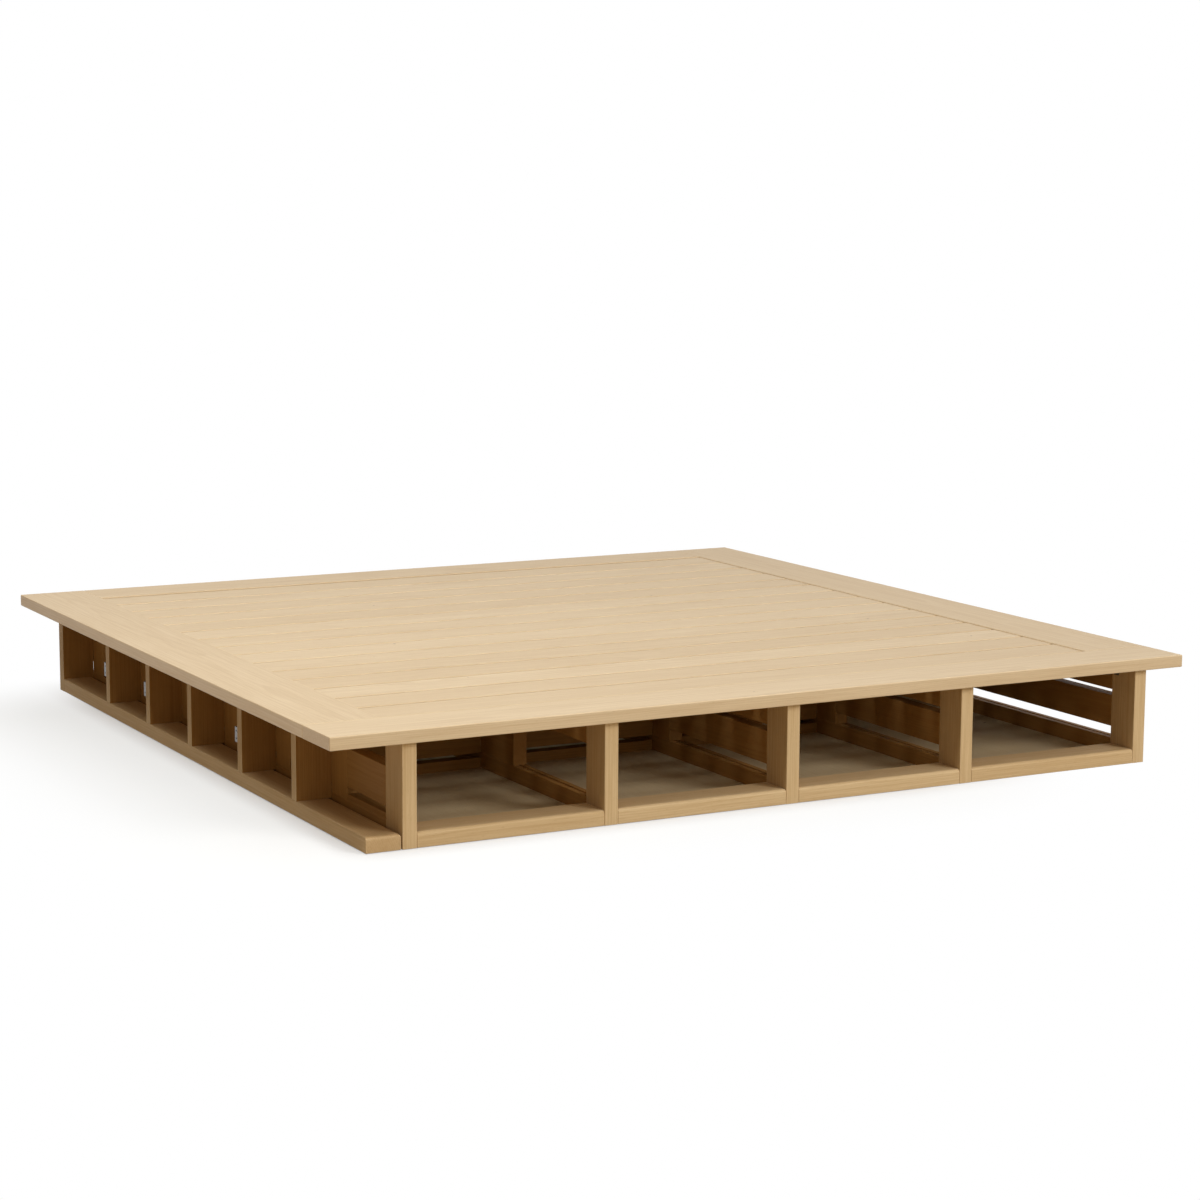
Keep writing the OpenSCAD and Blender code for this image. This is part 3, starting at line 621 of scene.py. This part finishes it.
# %% Give the plain pieces their finish
def give(names, material):
    for name in names:
        mesh = frame["nodes"][name].data
        mesh.materials.clear()
        mesh.materials.append(material)


give(["ledge_dowels", "rail_dowels", "divider_dowels"], dowel_wood)
give(["head_bolts", "barrel_nuts"], screw_zinc)
give(["floor_pads"], felt)
give(["slat_straps"], webbing)

# %% [markdown]
# ## Steel plates and screw heads
# Pressed steel has a tiny round along its edges, which shows as a bright line. The plates get it in the
# same way as the boards. A screw head shows the cross that the driver turns. It starts as the flat disc on
# top of the head: inset it, pull its corners in to the outline of a cross, and push that down.


# %% Ease the plates
def ease_plates(name, radius):
    bm = weld(frame["nodes"][name].data)
    ease(bm, radius, 0.1 * MM)
    make_piece(bm, name, name + "_eased", plate_zinc)


ease_plates("ledge_angles", 0.4 * MM)
ease_plates("catch_plates", 0.3 * MM)

# %% Press a cross into each screw head
QUARTER = math.pi / 2
ARM = 1.7 * MM
HALF_WIDTH = 0.38 * MM
CROSS_DEPTH = 1.1 * MM
RIM = 0.4 * MM
TAPER = 0.6
LEVEL = 0.01 * MM


def cross_reach(angle):
    turn = abs((angle + QUARTER / 2) % QUARTER - QUARTER / 2)
    if math.tan(turn) * ARM < HALF_WIDTH:
        return ARM / math.cos(turn)
    return HALF_WIDTH / math.sin(turn)


def head_disc(screw):
    low, high = extent(screw)
    along = board_axes(low, high)[0]
    for face in {face for vert in screw for face in vert.link_faces}:
        ends = [vert.co[along] for vert in face.verts]
        if len(ends) > 6 and max(ends) - min(ends) < LEVEL:
            if min(abs(ends[0] - low[along]), abs(ends[0] - high[along])) < LEVEL:
                return face
    return None


def press_cross(bm, disc):
    middle, normal = disc.calc_center_median(), disc.normal.copy()
    side = Vector((0, 0, 1)) if abs(normal.z) < 0.5 else Vector((0, 1, 0))
    other = normal.cross(side)
    bmesh.ops.inset_individual(bm, faces=[disc], thickness=RIM)
    for vert in disc.verts:
        offset = vert.co - middle
        angle = math.atan2(offset.dot(other), offset.dot(side))
        vert.co = middle + (side * math.cos(angle) + other * math.sin(angle)) * cross_reach(angle)
    pushed = bmesh.ops.extrude_discrete_faces(bm, faces=[disc])["faces"]
    bmesh.ops.translate(bm, verts=pushed[0].verts, vec=-normal * CROSS_DEPTH)
    for vert in pushed[0].verts:
        vert.co = middle - normal * CROSS_DEPTH + (vert.co - middle + normal * CROSS_DEPTH) * TAPER


pressed = 0
for name in ("angle_screws", "cleat_screws", "catch_screws"):
    bm = weld(frame["nodes"][name].data)
    discs = [disc for disc in (head_disc(screw) for screw in boards_in(bm)) if disc]
    for disc in discs:
        press_cross(bm, disc)
    pressed += len(discs)
    make_piece(bm, name, name + "_crossed", screw_zinc)
print("pressed", pressed, "screw heads")

# %% [markdown]
# ## Floor, sky and lamps
# The picture has a white ground with a faint shadow beside the left side of the base. The floor is one
# large sheet. What the camera sees of it is mixed from pale paint, which takes the shadow, and pure white,
# which doesn't. The share of white grows with the distance from a box on the floor under the left part of
# the base. It starts at a third and is whole 60 cm out, where the sheet meets the white backdrop without a
# line. Reflections see the same mixture. All other light meets browner paint, so that little of it bounces
# into the bays. One broad lamp stands to the front and right of the bed, and a second hangs high over its
# left side. The sky is bright and nearly neutral at the front and a little to the right, and dim and brown
# at the back.

# %% Floor
FLOOR_SIZE = 30
LIT_PAINT, SEEN_PAINT = (0.44, 0.36, 0.25, 1), (0.93, 0.93, 0.92, 1)
BOX_MIDDLE, BOX_HALF = (-0.38, -0.1, 0), (0.68, 0.75, 0)
WHITE_FROM, WHITE_TO, LEAST_WHITE = 0.03, 0.6, 0.32


def seen_by_camera(tree):
    path = add(tree, "ShaderNodeLightPath")
    seen = calc(tree, "MAXIMUM", path.outputs["Is Camera Ray"], path.outputs["Is Glossy Ray"])
    return calc(tree, "MAXIMUM", seen, path.outputs["Is Transmission Ray"])


bm = bmesh.new()
bmesh.ops.create_grid(bm, x_segments=1, y_segments=1, size=FLOOR_SIZE)
ground = bpy.data.meshes.new("ground")
bm.to_mesh(ground)
bm.free()
floor = bpy.data.objects.new("ground", ground)
bpy.context.scene.collection.objects.link(floor)
paint, tree, shader = new_material("Floor paint")
shader.inputs["Roughness"].default_value = 0.9
shader.inputs["Specular IOR Level"].default_value = 0.0
to_eye = seen_by_camera(tree)
feed(tree, blend_colour(tree, to_eye, LIT_PAINT, SEEN_PAINT), shader.inputs["Base Color"])
gap = add(tree, "ShaderNodeTexCoord").outputs["Object"]
for operation, second in (("SUBTRACT", BOX_MIDDLE), ("ABSOLUTE", None), ("SUBTRACT", BOX_HALF),
                          ("MAXIMUM", (0, 0, 0)), ("LENGTH", None)):
    step = add(tree, "ShaderNodeVectorMath", operation=operation)
    feed(tree, gap, step.inputs[0])
    if second:
        step.inputs[1].default_value = second
    gap = step.outputs["Value" if operation == "LENGTH" else "Vector"]
whitened = smooth(tree, gap, WHITE_FROM, WHITE_TO, LEAST_WHITE, 1.0)
white = add(tree, "ShaderNodeEmission")
glow = add(tree, "ShaderNodeMixShader")
feed(tree, calc(tree, "MULTIPLY", to_eye, whitened), glow.inputs["Fac"])
feed(tree, shader.outputs[0], glow.inputs[1])
feed(tree, white.outputs[0], glow.inputs[2])
feed(tree, glow.outputs[0], tree.nodes["Material Output"].inputs["Surface"])
ground.materials.append(paint)

# %% Sky
BRIGHT_SIDE = (0.45, -0.89, 0)
DIM_SKY, BRIGHT_SKY = (0.10, 0.07, 0.036, 1), (0.62, 0.585, 0.53, 1)
DIM_TO, BRIGHT_FROM = -0.5, 0.9
sky = bpy.data.worlds.new("Studio")
sky.use_nodes = True
bpy.context.scene.world = sky
tree = sky.node_tree
tree.nodes.clear()
light = add(tree, "ShaderNodeBackground")
facing = add(tree, "ShaderNodeVectorMath", operation="DOT_PRODUCT")
feed(tree, add(tree, "ShaderNodeTexCoord").outputs["Generated"], facing.inputs[0])
facing.inputs[1].default_value = BRIGHT_SIDE
toward = smooth(tree, facing.outputs["Value"], DIM_TO, BRIGHT_FROM)
feed(tree, blend_colour(tree, toward, DIM_SKY, BRIGHT_SKY), light.inputs["Color"])
backdrop = add(tree, "ShaderNodeBackground")
backdrop.inputs["Color"].default_value = (1, 1, 1, 1)
choose = add(tree, "ShaderNodeMixShader")
feed(tree, seen_by_camera(tree), choose.inputs["Fac"])
feed(tree, light.outputs[0], choose.inputs[1])
feed(tree, backdrop.outputs[0], choose.inputs[2])
feed(tree, choose.outputs[0], add(tree, "ShaderNodeOutputWorld").inputs["Surface"])


# %% Lamps
def lamp(name, place, target, size, power, colour):
    made = bpy.data.lights.new(name, "AREA")
    made.shape = "DISK"
    made.size = size
    made.energy = power
    made.color = colour
    holder = bpy.data.objects.new(name, made)
    holder.location = place
    holder.rotation_euler = (Vector(target) - Vector(place)).to_track_quat("-Z", "Y").to_euler()
    bpy.context.scene.collection.objects.link(holder)


lamp("Main lamp", place=(4.0, -8.4, 4.2), target=(0, -0.6, 0.2), size=3.4, power=350, colour=(1, 1, 1))
lamp("Top lamp", place=(-2.8, -1.2, 5.2), target=(0, 0, 0), size=2.6, power=235, colour=(0.94, 0.98, 1.0))

# %% [markdown]
# ## Camera
# The camera stands low at the foot, to the left of the bed, and looks along it through a long lens. Its turn,
# tilt and roll were found from the straight edges in the picture.

# %% Camera
STAND = (-3.3218, -6.3683, 1.43)
LENS, SENSOR = 84.06, 36
TURN, TILT, ROLL = math.radians(28.22), math.radians(8.74), math.radians(0.32)
forward = Vector((math.sin(TURN) * math.cos(TILT), math.cos(TURN) * math.cos(TILT), -math.sin(TILT)))
right = Vector((math.cos(TURN), -math.sin(TURN), 0))
up = right.cross(forward)
rolled_right = right * math.cos(ROLL) + up * math.sin(ROLL)
rolled_up = up * math.cos(ROLL) - right * math.sin(ROLL)
eye = bpy.data.cameras.new("Camera")
eye.lens = LENS
eye.sensor_width = SENSOR
eye.sensor_fit = "HORIZONTAL"
camera = bpy.data.objects.new("Camera", eye)
axes = Matrix((rolled_right, rolled_up, -forward)).transposed().to_4x4()
camera.matrix_world = Matrix.Translation(STAND) @ axes
bpy.context.scene.collection.objects.link(camera)
bpy.context.scene.camera = camera
bpy.context.scene.view_settings.view_transform = "Standard"
print("camera at", tuple(round(value, 3) for value in camera.location))
